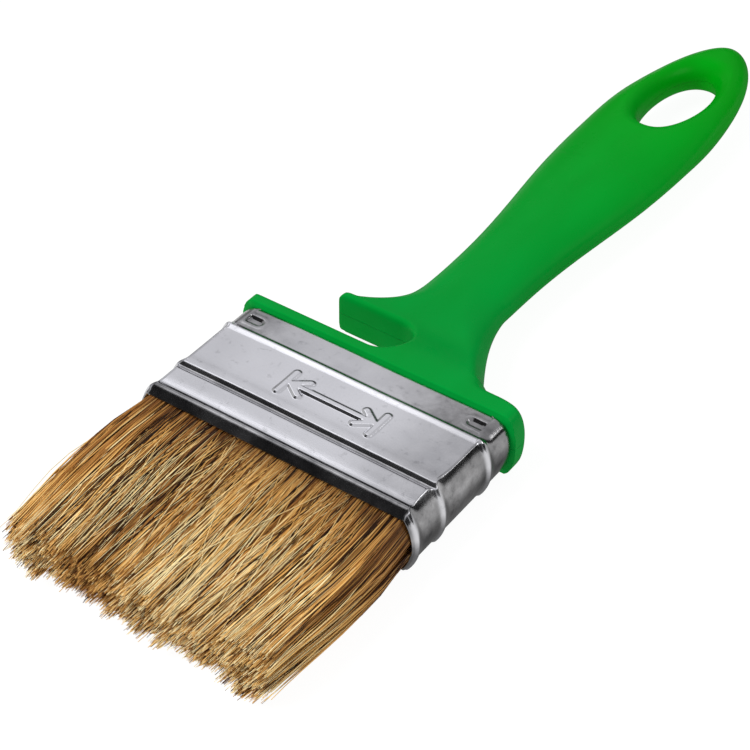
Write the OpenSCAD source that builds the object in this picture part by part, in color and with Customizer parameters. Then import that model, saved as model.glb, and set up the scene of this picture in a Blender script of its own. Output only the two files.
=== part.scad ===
// Flat 60 mm decorator's paint brush: moulded plastic handle, tinned steel ferrule, natural bristle.
//
// X runs across the brush, Y along it towards the hang hole, Z through its thickness, front face up.
// The modules are written from the ferrule's bristle-end rim, and place() moves them to the brush's
// own frame: X and Y centred on the whole brush, Z = 0 on the surface that it lies on.

/* [Ferrule] */
// Width of the ferrule, which gives the brush its nominal size
ferrule_w = 60; // [58:0.5:62]
// Thickness of the ferrule over its flat panels
ferrule_t = 13; // [12.5:0.25:14]
// Length of the ferrule
ferrule_l = 31; // [30:0.5:34]
// How far the narrow sides bow outwards past the long edges
side_bow = 2.2; // [1.5:0.1:3]
// Thickness of the steel strip
strip_t = 0.35; // [0.25:0.05:0.4]
// How far the pressed beads and the rolled rim stand out
bead_rise = 0.6; // [0.3:0.1:0.8]
// Width of a pressed bead
bead_w = 2.6; // [2:0.1:3]
// Middle of the bead nearer the handle, from the rim
upper_bead_y = 24; // [23:0.25:24.5]
// Middle of the bead nearer the bristles, from the rim
lower_bead_y = 9.6; // [8.5:0.25:10.5]

/* [Bristles] */
// Length of bristle outside the ferrule
bristle_l = 38.5; // [35:0.5:50]
// Thickness of each of the two packs at the ferrule
pack_t = 5.6; // [4.5:0.1:5.6]
// How much thinner each pack is at the tips
tip_thin = 1.3; // [0:0.1:2]
// How far each side of the packs draws in at the tips
tip_draw = 1.6; // [0:0.1:3]
// Largest bend of the bristles either way
bend_limit = 30; // [10:1:30]

/* [Handle] */
// Length of the handle outside the ferrule
handle_l = 141; // [130:1:150]
// Width of the handle at its waist
waist_w = 16; // [14:0.5:18]
// Width of the handle at its widest
belly_w = 26.8; // [25:0.2:30]
// Height of the shoulder lip that seats on the ferrule
lip_h = 3; // [2.5:0.25:3.5]
// Height of the slot under the can hook
slot_h = 10.9; // [10:0.1:12]
// Thickness of the can hook's bar
hook_t = 1.8; // [1.5:0.1:2.5]
// How far the lip stands out past the ferrule all round
lip_overhang = 0.4; // [0:0.1:0.5]
// Width of the hang hole
hole_w = 12.6; // [11:0.2:13.4]
// Length of the hang hole
hole_l = 29; // [25:0.5:30]

/* [Hidden] */

$fn = 48;
eps = 0.01;

// Ferrule section: flat panels joined by circular narrow sides
half_w = ferrule_w / 2;
half_t = ferrule_t / 2;
side_r = (half_t * half_t + side_bow * side_bow) / (2 * side_bow);
side_x = half_w - side_r;
bead_r = (pow(bead_w / 2, 2) + pow(bead_rise, 2)) / (2 * bead_rise);
bead_sink = bead_r - bead_rise;
rim_bead_y = bead_w / 2;
lap_w = 5;
lap_x = -20;

// Dents that lock the ferrule on the handle's tenon
dent_x = 25.4;
dent_y = 27.6;
dent_l = 3.4;
dent_r = 1;
dent_lift = 0.15;
pocket_play = 0.1;

// Stack inside the ferrule, from the rim to the handle
fit = 0.05;
seat_gap = 0.1;
root_l = 13;
plug_y = 4;
plug_groove = 1;
plug_t = 3;
plug_w = 54;
resin_top = 17;
core_depth = 8;
core_wall = 2;
core_t = 8;
core_count = 4;

// Bend line of the bristles: a round knuckle in a round seat, both about the same axis
flex_gap = 0.3;
knuckle_r = pack_t + fit;
seat_r = knuckle_r + flex_gap;
pivot_y = -seat_r * sin(bend_limit + 2);
packs_gap = 0.05;
tip_t = pack_t - tip_thin;

// Handle stations along Y
lip_y = ferrule_l + lip_h;
lip_t = ferrule_t + 2 * lip_overhang - 2 * fit;
shoulder_w = ferrule_w + 2 * lip_overhang - 2 * fit;
flare_l = 29;
flare_reach = 14.4;
flare_power = 2.2;
corner_h = 7.4;
corner_y = lip_y + corner_h;
corner_x = waist_w / 2 + flare_reach;
waist_y = lip_y + flare_l;
end_y = ferrule_l + handle_l;
tail_l = 42;
belly_y = end_y - tail_l;
hole_y = end_y - 26;
hole_end_r = 4.6;
neck_t = 9.2;
neck_l = 17;
grip_t = 10.4;
tail_t = 8.4;
tip_round = 9;
tip_power = 2.4;
edge_power = 2.2;
grip_power = 2.4;
lip_power = 20;
power_fall = 2.5;
ring_points = 44;
neck_rings = 16;
grip_rings = 16;
tail_rings = 14;
ring_crowding = 1.3;
last_ring_angle = 88.5;
slot_r = slot_h / 2;
slot_y = lip_y + slot_r;
slot_end_x = 1.8;
hook_x = -17.6;
hook_rise = 12.6;
hook_top_y = lip_y + slot_h + hook_rise;
hook_d = 8.6;
hook_root_x = -6;

// Generic width symbol pressed on the front panel
symbol_x = 1.2;
symbol_y = 16.6;
symbol_w = 20;
symbol_h = 6;
symbol_line = 0.9;
symbol_rise = 0.3;
arrow_l = 3.6;
arrow_angle = 35;

// The brush's own frame
mid_y = (end_y - bristle_l) / 2;
rest_z = half_t + bead_rise;

module place() {
    translate([0, -mid_y, rest_z]) children();
}

// Extrudes a section drawn in X and Z along the brush
module along_brush(y0, y1) {
    translate([0, y0, 0]) rotate([-90, 0, 0]) linear_extrude(y1 - y0) children();
}

// Ferrule section, grown by grow on every side
module ferrule_section(grow) {
    band = ferrule_t + 2 * grow;
    square([2 * side_x, band], center = true);
    for (side = [-1, 1]) {
        intersection() {
            translate([side * side_x, 0]) circle(side_r + grow);
            translate([side * half_w, 0]) square([ferrule_w, band], center = true);
        }
    }
}

// Round rod along X, with ball ends
module capsule_x(length, radius) {
    rotate([0, 90, 0]) cylinder(h = length, r = radius, center = true);
    for (end = [-1, 1]) {
        translate([end * length / 2, 0, 0]) sphere(radius);
    }
}

// Ridge pressed all round the ferrule at height y
module bead(y) {
    path_r = side_r - bead_sink;
    path_z = half_t - bead_sink;
    corner_x = side_x + sqrt(path_r * path_r - path_z * path_z);
    sweep = asin(path_z / path_r);
    translate([0, y, 0]) {
        for (face = [-1, 1]) {
            translate([0, 0, face * path_z]) capsule_x(2 * corner_x, bead_r);
        }
        for (side = [0, 180]) {
            rotate([0, side, 0]) translate([side_x, 0, 0]) rotate([90, 0, 0]) rotate([0, 0, -sweep])
                rotate_extrude(angle = 2 * sweep) translate([path_r, 0]) circle(bead_r);
        }
    }
}

// The four dents' centre lines, with a radius
module dents(radius) {
    for (face = [-1, 1]) {
        for (side = [-1, 1]) {
            translate([side * dent_x, dent_y, face * (half_t + dent_lift)]) capsule_x(dent_l, radius);
        }
    }
}

// Double-headed arrow between two end bars
module width_symbol() {
    square([symbol_w - symbol_line, symbol_line], center = true);
    for (side = [-1, 1]) {
        translate([side * symbol_w / 2, 0]) square([symbol_line, symbol_h], center = true);
        for (slope = [-1, 1]) {
            translate([side * (symbol_w / 2 - symbol_line), 0]) rotate(90 + side * 90 + slope * arrow_angle)
                translate([arrow_l / 2, 0]) square([arrow_l, symbol_line], center = true);
        }
    }
}

module ferrule() {
    color("lightgray") place() difference() {
        union() {
            along_brush(0, ferrule_l) ferrule_section(0);
            bead(rim_bead_y);
            bead(lower_bead_y);
            bead(upper_bead_y);
            translate([lap_x, ferrule_l / 2, -half_t])
                cube([lap_w, ferrule_l - eps, 2 * strip_t], center = true);
            translate([symbol_x, symbol_y, half_t - strip_t / 2])
                linear_extrude(strip_t / 2 + symbol_rise) width_symbol();
        }
        difference() {
            along_brush(-1, ferrule_l + 1) ferrule_section(-strip_t);
            dents(dent_r + strip_t);
        }
        dents(dent_r);
    }
}

// Half width of the handle outside the ferrule; side is 1 on the shoulder's side and -1 on the hook's side
function half_width(y, side) =
    y < waist_y ? (side > 0 ? shoulder_reach(y) : hook_reach(y))
    : y < belly_y ? (waist_w + (belly_w - waist_w) * smooth((y - waist_y) / (belly_y - waist_y))) / 2
    : belly_w / 2 * sqrt(1 - pow((y - belly_y) / tail_l, 2));

// Flare from the waist down to the shoulder's round corner, and the corner down to the lip
function shoulder_reach(y) =
    y > corner_y ? waist_w / 2 + flare_reach * pow((waist_y - y) / (waist_y - corner_y), flare_power)
    : corner_x + (shoulder_w / 2 - corner_x) * sqrt(1 - pow(max(0, y - lip_y) / corner_h, 2));

// Tighter flare from the waist down to the hook's tip
function hook_reach(y) = let(rise = min(1, max(0, (hook_top_y - y) / hook_rise)))
    waist_w / 2 + (-hook_x - waist_w / 2) * pow(rise, 3);

// Half thickness of the handle outside the ferrule
function half_depth(y) =
    (y < waist_y ? lip_t + (neck_t - lip_t) * smooth((y - lip_y) / neck_l)
    : y < belly_y ? neck_t + (grip_t - neck_t) * smooth((y - waist_y) / (belly_y - waist_y))
    : grip_t + (tail_t - grip_t) * smooth((y - belly_y) / (tail_l - tip_round))) / 2
    * sqrt(1 - pow(max(0, (y - end_y + tip_round) / tip_round), tip_power));

// How square the section is: high at the shoulder, nearly elliptical along the grip
function squareness(y) = let(fall = 1 - min(1, max(0, (y - lip_y) / flare_l)))
    grip_power + (lip_power - grip_power) * pow(fall, power_fall);

function smooth(t) = let(u = min(1, max(0, t))) u * u * (3 - 2 * u);

function signed_power(v, p) = sign(v) * pow(abs(v), p);

// One ring of the handle's skin
function ring(y) = [for (i = [0 : ring_points - 1])
    let(t = 360 * (i + 0.5) / ring_points)
    [half_width(y, sign(cos(t))) * signed_power(cos(t), 2 / squareness(y)), y,
     half_depth(y) * signed_power(sin(t), 2 / edge_power)]];

ring_ys = concat(
    [for (i = [0 : neck_rings - 1]) lip_y - eps + flare_l * pow(i / neck_rings, ring_crowding)],
    [for (i = [0 : grip_rings - 1]) waist_y + (belly_y - waist_y) * i / grip_rings],
    [for (i = [0 : tail_rings]) belly_y + tail_l * sin(last_ring_angle * i / tail_rings)]);

// Smooth body from the shoulder to the tail, as rings joined by four-sided faces
module handle_skin() {
    rings = len(ring_ys);
    points = [for (y = ring_ys) each ring(y)];
    sides = [for (r = [0 : rings - 2]) for (i = [0 : ring_points - 1])
        let(j = (i + 1) % ring_points, a = r * ring_points, b = a + ring_points)
        [a + i, a + j, b + j, b + i]];
    caps = [[for (i = [ring_points - 1 : -1 : 0]) i],
            [for (i = [0 : ring_points - 1]) (rings - 1) * ring_points + i]];
    polyhedron(points, concat(sides, caps), convexity = 6);
}

// Oval of four tangent arcs, with its length along Y
module oval(width, length, end_r) {
    end_y = length / 2 - end_r;
    flank_r = (width * width / 4 + end_y * end_y - end_r * end_r) / (width - 2 * end_r);
    flank_x = flank_r - width / 2;
    tangent_y = end_y * flank_r / (flank_r - end_r);
    intersection() {
        translate([flank_x, 0]) circle(flank_r);
        translate([-flank_x, 0]) circle(flank_r);
        square([width, 2 * tangent_y], center = true);
    }
    for (end = [-1, 1]) {
        translate([0, end * end_y]) circle(end_r);
    }
}

// Bar of the can hook, with a round tip
module hook_bar() {
    bottom = lip_y + slot_h;
    translate([0, 0, -hook_d / 2]) linear_extrude(hook_d) {
        translate([hook_x + hook_t / 2, bottom]) square([hook_root_x - hook_x, hook_t]);
        translate([hook_x + hook_t / 2, bottom + hook_t / 2]) circle(d = hook_t);
    }
}

// Slot between the hook and the shoulder lip
module hook_slot() {
    translate([slot_end_x - slot_r, slot_y, 0]) cylinder(h = 2 * ferrule_t, r = slot_r, center = true);
    translate([-ferrule_w, lip_y, -ferrule_t]) cube([ferrule_w + slot_end_x - slot_r, slot_h, 2 * ferrule_t]);
}

// Tenon inside the ferrule, cored from below and notched for the dents
module tenon() {
    pitch = plug_w / core_count;
    difference() {
        along_brush(resin_top, ferrule_l + eps) ferrule_section(-strip_t - fit);
        dents(dent_r + strip_t + pocket_play);
        for (i = [0 : core_count - 1]) {
            translate([(i + 0.5 - core_count / 2) * pitch, resin_top + core_depth / 2, 0])
                cube([pitch - core_wall, core_depth + eps, core_t], center = true);
        }
    }
}

module handle() {
    color("green") place() {
        tenon();
        along_brush(ferrule_l, lip_y) ferrule_section(lip_overhang);
        difference() {
            handle_skin();
            hook_slot();
            translate([0, hole_y, 0]) linear_extrude(2 * ferrule_t, center = true)
                oval(hole_w, hole_l, hole_end_r);
        }
        hook_bar();
    }
}

// Space inside the ferrule between two heights
module bore_space(y0, y1) {
    along_brush(y0, y1) ferrule_section(-strip_t - fit);
}

module spacer_plug() {
    length = root_l + plug_groove - plug_y;
    color("burlywood") place() translate([0, plug_y + length / 2, 0])
        cube([plug_w, length, plug_t], center = true);
}

module setting_resin() {
    color("goldenrod") place() difference() {
        bore_space(root_l, resin_top);
        translate([0, root_l, 0]) cube([plug_w, 2 * plug_groove, plug_t], center = true);
    }
}

// Gripped half of one pack; side is 1 for the front and -1 for the back
module roots(side) {
    difference() {
        bore_space(seat_gap, root_l);
        translate([-half_w, -1, side > 0 ? -ferrule_t : 0]) cube([ferrule_w, root_l + 2, ferrule_t]);
        translate([0, plug_y + root_l / 2, 0]) cube([plug_w, root_l, plug_t], center = true);
        translate([0, pivot_y, 0]) rotate([0, 90, 0]) cylinder(h = ferrule_w, r = seat_r, center = true);
    }
}

// Both free packs as one round-ended wedge, before they are split
module free_wedge() {
    translate([0, pivot_y, 0]) rotate([0, 90, 0]) cylinder(h = ferrule_w, r = knuckle_r, center = true);
    rotate([90, 0, 90]) linear_extrude(ferrule_w, center = true)
        polygon([[pivot_y, -knuckle_r], [pivot_y, knuckle_r], [-bristle_l, tip_t], [-bristle_l, -tip_t]]);
}

// Free half of one pack, narrower where it turns inside the ferrule's mouth.
// side is 1 for the front and -1 for the back.
module free_pack(side) {
    root_x = half_w - strip_t - flex_gap;
    mouth_x = root_x - side_bow;
    mouth_y = pivot_y + side_bow;
    intersection() {
        free_wedge();
        along_brush(-bristle_l - 1, knuckle_r) ferrule_section(-strip_t - flex_gap);
        translate([0, 0, side * packs_gap + (side > 0 ? 0 : -ferrule_t)]) linear_extrude(ferrule_t)
            polygon([[-mouth_x, knuckle_r], [mouth_x, knuckle_r], [mouth_x, mouth_y], [root_x, pivot_y],
                     [root_x - tip_draw, -bristle_l], [tip_draw - root_x, -bristle_l],
                     [-root_x, pivot_y], [-mouth_x, mouth_y]]);
    }
}

module front_roots() {
    color("tan") place() roots(1);
}

module back_roots() {
    color("peru") place() roots(-1);
}

module front_bristles() {
    color("burlywood") place() free_pack(1);
}

module back_bristles() {
    color("sienna") place() free_pack(-1);
}

handle();
ferrule();
setting_resin();
spacer_plug();
front_roots();
back_roots();
front_bristles();
back_bristles();
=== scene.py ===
"""Looks of the flat 60 mm paint brush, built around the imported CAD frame.

Sizes are in millimetres in the head frame, which part.scad also uses: X across the brush, Y = 0 at the ferrule's
bristle-end rim and rising towards the hang hole, Z = 0 at mid thickness. to_frame() moves points to the row frame.
"""

import math

import bpy
import numpy as np
from mathutils import Matrix, Vector


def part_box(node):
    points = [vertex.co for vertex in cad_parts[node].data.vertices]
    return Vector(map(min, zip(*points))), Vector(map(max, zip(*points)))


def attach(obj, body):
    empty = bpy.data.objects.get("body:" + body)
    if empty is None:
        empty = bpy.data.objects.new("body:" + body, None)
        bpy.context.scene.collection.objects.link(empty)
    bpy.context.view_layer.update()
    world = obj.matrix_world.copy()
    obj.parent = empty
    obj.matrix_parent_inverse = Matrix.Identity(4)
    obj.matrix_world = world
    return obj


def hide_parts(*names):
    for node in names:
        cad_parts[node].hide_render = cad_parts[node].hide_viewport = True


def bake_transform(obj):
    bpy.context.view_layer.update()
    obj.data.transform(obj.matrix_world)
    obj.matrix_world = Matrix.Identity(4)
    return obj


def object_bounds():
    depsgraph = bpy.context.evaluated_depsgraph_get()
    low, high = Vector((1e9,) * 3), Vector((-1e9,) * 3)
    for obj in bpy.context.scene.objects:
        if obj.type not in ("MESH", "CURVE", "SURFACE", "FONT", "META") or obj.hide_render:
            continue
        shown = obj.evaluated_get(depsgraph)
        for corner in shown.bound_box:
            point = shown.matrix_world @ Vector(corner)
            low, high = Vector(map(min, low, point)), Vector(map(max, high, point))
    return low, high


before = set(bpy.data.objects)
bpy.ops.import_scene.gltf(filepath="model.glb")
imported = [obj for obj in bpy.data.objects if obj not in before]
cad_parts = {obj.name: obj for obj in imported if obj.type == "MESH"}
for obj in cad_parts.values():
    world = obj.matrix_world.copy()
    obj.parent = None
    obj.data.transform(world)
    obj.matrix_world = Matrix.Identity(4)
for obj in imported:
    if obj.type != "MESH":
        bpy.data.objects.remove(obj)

cad_low, cad_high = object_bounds()

MM = 0.001
FERRULE_W = 60.0
FERRULE_T = 13.0
FERRULE_L = 31.0
SIDE_BOW = 2.2
STRIP_T = 0.35
HANDLE_END = 172.0
ROOT_TOP = 12.9
HALF_T = FERRULE_T / 2
SIDE_R = (HALF_T**2 + SIDE_BOW**2) / (2 * SIDE_BOW)
SIDE_X = FERRULE_W / 2 - SIDE_R

HEAD_BODY = "handle_and_ferrule"

ferrule_low, ferrule_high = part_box("ferrule")
ORIGIN = np.array([0.0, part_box("handle")[1].y - HANDLE_END * MM, (ferrule_low.z + ferrule_high.z) / 2])
BRISTLE_L = (ORIGIN[1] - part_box("front_bristles")[0].y) / MM


def to_frame(points):
    """Head-frame millimetres to row-frame metres."""
    return np.asarray(points, float) * MM + ORIGIN


def smoother(t):
    """0 to 1 with no kink in slope or curvature at either end."""
    t = np.clip(t, 0, 1)
    return t * t * t * (t * (6 * t - 15) + 10)


def lerp(a, b, t):
    return a + (b - a) * t


def make_mesh(name, points, faces):
    """A mesh object from head-frame points and an array of faces."""
    mesh = bpy.data.meshes.new(name)
    faces = np.asarray(faces)
    mesh.vertices.add(len(points))
    mesh.vertices.foreach_set("co", to_frame(points).astype(np.float32).ravel())
    mesh.loops.add(faces.size)
    mesh.loops.foreach_set("vertex_index", faces.astype(np.int32).ravel())
    mesh.polygons.add(len(faces))
    mesh.polygons.foreach_set("loop_start", np.arange(0, faces.size, faces.shape[1], dtype=np.int32))
    mesh.update(calc_edges=True)
    mesh.validate()
    mesh.polygons.foreach_set("use_smooth", np.full(len(mesh.polygons), True))
    piece = bpy.data.objects.new(name, mesh)
    bpy.context.scene.collection.objects.link(piece)
    return piece


# ---------------------------------------------------------------- shader helpers


def new_material(name):
    material = bpy.data.materials.new(name)
    material.use_nodes = True
    nodes = material.node_tree.nodes
    nodes.clear()
    return material, nodes, material.node_tree.links


def principled(nodes, links, **values):
    shader = nodes.new("ShaderNodeBsdfPrincipled")
    out = nodes.new("ShaderNodeOutputMaterial")
    links.new(shader.outputs["BSDF"], out.inputs["Surface"])
    for name, value in values.items():
        shader.inputs[name.replace("_", " ")].default_value = value
    return shader


def object_place(nodes):
    return nodes.new("ShaderNodeTexCoord").outputs["Object"]


def stretched(nodes, links, vector, scale):
    mapping = nodes.new("ShaderNodeMapping")
    mapping.inputs["Scale"].default_value = scale
    links.new(vector, mapping.inputs["Vector"])
    return mapping.outputs["Vector"]


def noise(nodes, links, vector, scale, detail=4.0, roughness=0.5):
    """Noise of a given number of waves per metre."""
    texture = nodes.new("ShaderNodeTexNoise")
    texture.inputs["Scale"].default_value = scale
    texture.inputs["Detail"].default_value = detail
    texture.inputs["Roughness"].default_value = roughness
    links.new(vector, texture.inputs["Vector"])
    return texture.outputs["Fac"]


def ramp(nodes, links, value, stops):
    node = nodes.new("ShaderNodeValToRGB")
    elements = node.color_ramp.elements
    while len(elements) < len(stops):
        elements.new(0.5)
    for element, (position, color) in zip(elements, stops):
        element.position = position
        element.color = (*color, 1) if len(color) == 3 else color
    links.new(value, node.inputs["Fac"])
    return node.outputs["Color"]


def spread(nodes, links, value, low, high, to_low, to_high):
    node = nodes.new("ShaderNodeMapRange")
    for name, number in (("From Min", low), ("From Max", high), ("To Min", to_low), ("To Max", to_high)):
        node.inputs[name].default_value = number
    links.new(value, node.inputs["Value"])
    return node.outputs["Result"]


def mix_colors(nodes, links, factor, a, b, mode="MIX"):
    node = nodes.new("ShaderNodeMix")
    node.data_type = "RGBA"
    node.blend_type = mode
    for socket, value in ((node.inputs[0], factor), (node.inputs[6], a), (node.inputs[7], b)):
        if isinstance(value, bpy.types.NodeSocket):
            links.new(value, socket)
        else:
            socket.default_value = value
    return node.outputs[2]


def bump(nodes, links, height, distance, strength=1.0, under=None):
    node = nodes.new("ShaderNodeBump")
    node.inputs["Distance"].default_value = distance
    node.inputs["Strength"].default_value = strength
    links.new(height, node.inputs["Height"])
    if under is not None:
        links.new(under, node.inputs["Normal"])
    return node.outputs["Normal"]


# ---------------------------------------------------------------- camera, floor and light

CAMERA_AZIMUTH, CAMERA_ELEVATION, CAMERA_ROLL = 34.87, 40.59, 0.60
CAMERA_DISTANCE = 369.55
CAMERA_TARGET = (-1.47, 33.68, 0.0)
CAMERA_LENS = 95.47


def make_camera():
    a, e, r = (math.radians(v) for v in (CAMERA_AZIMUTH, CAMERA_ELEVATION, CAMERA_ROLL))
    back = Vector((math.sin(a) * math.cos(e), -math.cos(a) * math.cos(e), math.sin(e)))
    right = Vector((0, 0, 1)).cross(back).normalized()
    up = back.cross(right)
    rolled_right = right * math.cos(r) + up * math.sin(r)
    rolled_up = up * math.cos(r) - right * math.sin(r)
    data = bpy.data.cameras.new("camera")
    data.lens = CAMERA_LENS
    data.sensor_width = 36.0
    data.clip_start, data.clip_end = 0.01, 20.0
    camera = bpy.data.objects.new("camera", data)
    place = Vector(to_frame(CAMERA_TARGET)) + back * (CAMERA_DISTANCE * MM)
    turned = Matrix((rolled_right, rolled_up, back)).transposed().to_4x4()
    camera.matrix_world = Matrix.Translation(place) @ turned
    bpy.context.scene.collection.objects.link(camera)
    bpy.context.scene.camera = camera


FLOOR_GAP = 0.2
FLOOR_HALF = 3.0
FLOOR_WHITE = 0.94
FLOOR_SHADE_X = (33.0, 44.0)
FLOOR_MIRRORED = (0.16, 0.75)


def make_floor():
    """White floor just under the brush. In reflections a painted shadow makes it dim under the brush, and it is
    bright further out.
    """
    level = cad_low.z - FLOOR_GAP * MM
    corners = [(x * FLOOR_HALF, y * FLOOR_HALF, level) for x, y in ((-1, -1), (1, -1), (1, 1), (-1, 1))]
    mesh = bpy.data.meshes.new("floor")
    mesh.from_pydata(corners, [], [(0, 1, 2, 3)])
    floor = bpy.data.objects.new("floor", mesh)
    bpy.context.scene.collection.objects.link(floor)
    material, nodes, links = new_material("floor_white")
    pale = nodes.new("ShaderNodeBsdfDiffuse")
    pale.inputs["Color"].default_value = (0.10, 0.10, 0.10, 1)
    glow = nodes.new("ShaderNodeEmission")
    glow.inputs["Strength"].default_value = FLOOR_WHITE
    both = nodes.new("ShaderNodeAddShader")
    links.new(pale.outputs["BSDF"], both.inputs[0])
    links.new(glow.outputs["Emission"], both.inputs[1])
    place = nodes.new("ShaderNodeSeparateXYZ")
    links.new(object_place(nodes), place.inputs["Vector"])
    across = nodes.new("ShaderNodeMath")
    across.operation = "ABSOLUTE"
    links.new(place.outputs["X"], across.inputs[0])
    # Painted shadow in reflections: the floor's mirrored brightness is lowest near the brush and rises further out
    # across X.
    mirrored = nodes.new("ShaderNodeEmission")
    near, far = FLOOR_SHADE_X
    links.new(spread(nodes, links, across.outputs["Value"], near * MM, far * MM, *FLOOR_MIRRORED),
              mirrored.inputs["Strength"])
    path = nodes.new("ShaderNodeLightPath")
    mix = nodes.new("ShaderNodeMixShader")
    out = nodes.new("ShaderNodeOutputMaterial")
    links.new(path.outputs["Is Glossy Ray"], mix.inputs["Fac"])
    links.new(both.outputs["Shader"], mix.inputs[1])
    links.new(mirrored.outputs["Emission"], mix.inputs[2])
    links.new(mix.outputs["Shader"], out.inputs["Surface"])
    material.cycles.emission_sampling = "NONE"
    mesh.materials.append(material)


# What polished surfaces see. The left of the sky has its brightness from front (0) to back (1), and the horizon's
# stops run from straight down (0) to straight up (1). The far left and the front right are plain grey, END_SKY.
LEFT_SKY = (
    (0.53, 0.03), (0.58, 0.60), (0.64, 1.30), (0.69, 1.15), (0.74, 0.62), (0.785, 0.60), (0.815, 0.70),
    (0.86, 0.58), (1.0, 0.25))
HORIZON = ((0.50, 0.30), (0.51, 0.03), (0.64, 0.05), (0.73, 1.0))
RIGHT_SKY = 0.52
END_SKY = 0.45
SKY_TINT = 1.035
RIGHT_FROM_X = (-0.28, -0.05)
FAR_LEFT_X = (-0.85, -0.65)
FRONT_Y = (-0.62, -0.42)
WORLD_WHITE = 0.55
KEY_PLACE, KEY_SIZE, KEY_POWER = (-260, -330, 560), 0.28, 4.2
RIM_PLACE, RIM_SIZE, RIM_POWER = (500, 300, 350), 0.30, 0.8
LIGHT_AIM = (0, 20, 0)


def make_world():
    """Even white for diffuse light. In reflections, the striped sky above over a dark horizon."""
    world = bpy.data.worlds.new("studio")
    bpy.context.scene.world = world
    world.use_nodes = True
    world.cycles.sampling_method = "NONE"
    nodes, links = world.node_tree.nodes, world.node_tree.links
    nodes.clear()
    path = nodes.new("ShaderNodeLightPath")
    where = nodes.new("ShaderNodeTexCoord")
    split = nodes.new("ShaderNodeSeparateXYZ")
    links.new(where.outputs["Generated"], split.inputs["Vector"])
    along = spread(nodes, links, split.outputs["Y"], -1, 1, 0, 1)
    height = spread(nodes, links, split.outputs["Z"], -1, 1, 0, 1)
    left = ramp(nodes, links, along, [(at, (value, value, value * SKY_TINT)) for at, value in LEFT_SKY])
    right = (RIGHT_SKY, RIGHT_SKY, RIGHT_SKY * SKY_TINT, 1)
    to_right = spread(nodes, links, split.outputs["X"], *RIGHT_FROM_X, 0, 1)
    sky = mix_colors(nodes, links, to_right, left, right)
    horizon = ramp(nodes, links, height, [(at, (value, value, value)) for at, value in HORIZON])
    grey = (END_SKY, END_SKY, END_SKY, 1)
    shaded = mix_colors(nodes, links, 1.0, sky, horizon, "MULTIPLY")
    far_left = spread(nodes, links, split.outputs["X"], *FAR_LEFT_X, 1, 0)
    lit = mix_colors(nodes, links, far_left, shaded, grey)
    front_right = nodes.new("ShaderNodeMath")
    front_right.operation = "MULTIPLY"
    links.new(to_right, front_right.inputs[0])
    links.new(spread(nodes, links, split.outputs["Y"], *FRONT_Y, 1, 0), front_right.inputs[1])
    lit = mix_colors(nodes, links, front_right.outputs["Value"], lit, grey)
    glossy = nodes.new("ShaderNodeBackground")
    links.new(lit, glossy.inputs["Color"])
    white = nodes.new("ShaderNodeBackground")
    white.inputs["Color"].default_value = (1, 1, 1, 1)
    white.inputs["Strength"].default_value = WORLD_WHITE
    mix = nodes.new("ShaderNodeMixShader")
    out = nodes.new("ShaderNodeOutputWorld")
    links.new(path.outputs["Is Glossy Ray"], mix.inputs["Fac"])
    links.new(white.outputs["Background"], mix.inputs[1])
    links.new(glossy.outputs["Background"], mix.inputs[2])
    links.new(mix.outputs["Shader"], out.inputs["Surface"])


def make_light(name, place, size, power, mirrored):
    data = bpy.data.lights.new(name, "AREA")
    data.shape = "SQUARE"
    data.size = size
    data.energy = power
    light = bpy.data.objects.new(name, data)
    spot, target = Vector(to_frame(place)), Vector(to_frame(LIGHT_AIM))
    light.location = spot
    light.rotation_mode = "QUATERNION"
    light.rotation_quaternion = (target - spot).to_track_quat("-Z", "Y")
    light.visible_glossy = mirrored
    bpy.context.scene.collection.objects.link(light)


def make_studio():
    make_world()
    make_floor()
    make_light("key", KEY_PLACE, KEY_SIZE, KEY_POWER, False)
    make_light("rim", RIM_PLACE, RIM_SIZE, RIM_POWER, True)


# ---------------------------------------------------------------- materials


PLASTIC_SPECULAR, HAIR_SPECULAR = 0.05, 0.20
PAINTED_SHEEN_FADE_Y = (50, 150)
PARTING_HALF_W = 0.3


def green_plastic():
    """Moulded polypropylene: low gloss, slight flow marks, a parting line, and a darker green near the head with a
    painted bluish sheen, fading to purer green at the tail.
    """
    material, nodes, links = new_material("green_plastic")
    place = object_place(nodes)
    flow = noise(nodes, links, stretched(nodes, links, place, (1.0, 0.3, 1.0)), 60, 3)
    # pale is the darker, bluer green near the head, its blue a painted sheen; deep is the purer green towards the
    # tail.
    pale = ramp(nodes, links, flow, [(0.35, (0.0, 0.232, 0.026)), (0.65, (0.0, 0.262, 0.034))])
    deep = ramp(nodes, links, flow, [(0.35, (0.0, 0.245, 0.002)), (0.65, (0.0, 0.300, 0.006))])
    axes = nodes.new("ShaderNodeSeparateXYZ")
    links.new(place, axes.inputs["Vector"])
    tail_y = [to_frame((0, y, 0))[1] for y in PAINTED_SHEEN_FADE_Y]
    towards_tail = spread(nodes, links, axes.outputs["Y"], *tail_y, 0, 1)
    shader = principled(nodes, links, IOR=1.45)
    shader.inputs["Specular IOR Level"].default_value = PLASTIC_SPECULAR
    links.new(mix_colors(nodes, links, towards_tail, pale, deep), shader.inputs["Base Color"])
    gloss = spread(nodes, links, noise(nodes, links, place, 260), 0.3, 0.7, 0.24, 0.38)
    links.new(gloss, shader.inputs["Roughness"])
    skin = bump(nodes, links, noise(nodes, links, place, 1800, 3), 0.00002, 0.5)
    mid_z = ORIGIN[2]
    half_w = PARTING_HALF_W * MM
    across = spread(nodes, links, axes.outputs["Z"], mid_z - half_w, mid_z + half_w, 0, 1)
    line = ramp(nodes, links, across,
                [(0.30, (0, 0, 0)), (0.50, (1, 1, 1)), (0.70, (0, 0, 0))])
    links.new(bump(nodes, links, line, 0.00012, 0.8, skin), shader.inputs["Normal"])
    return material


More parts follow.
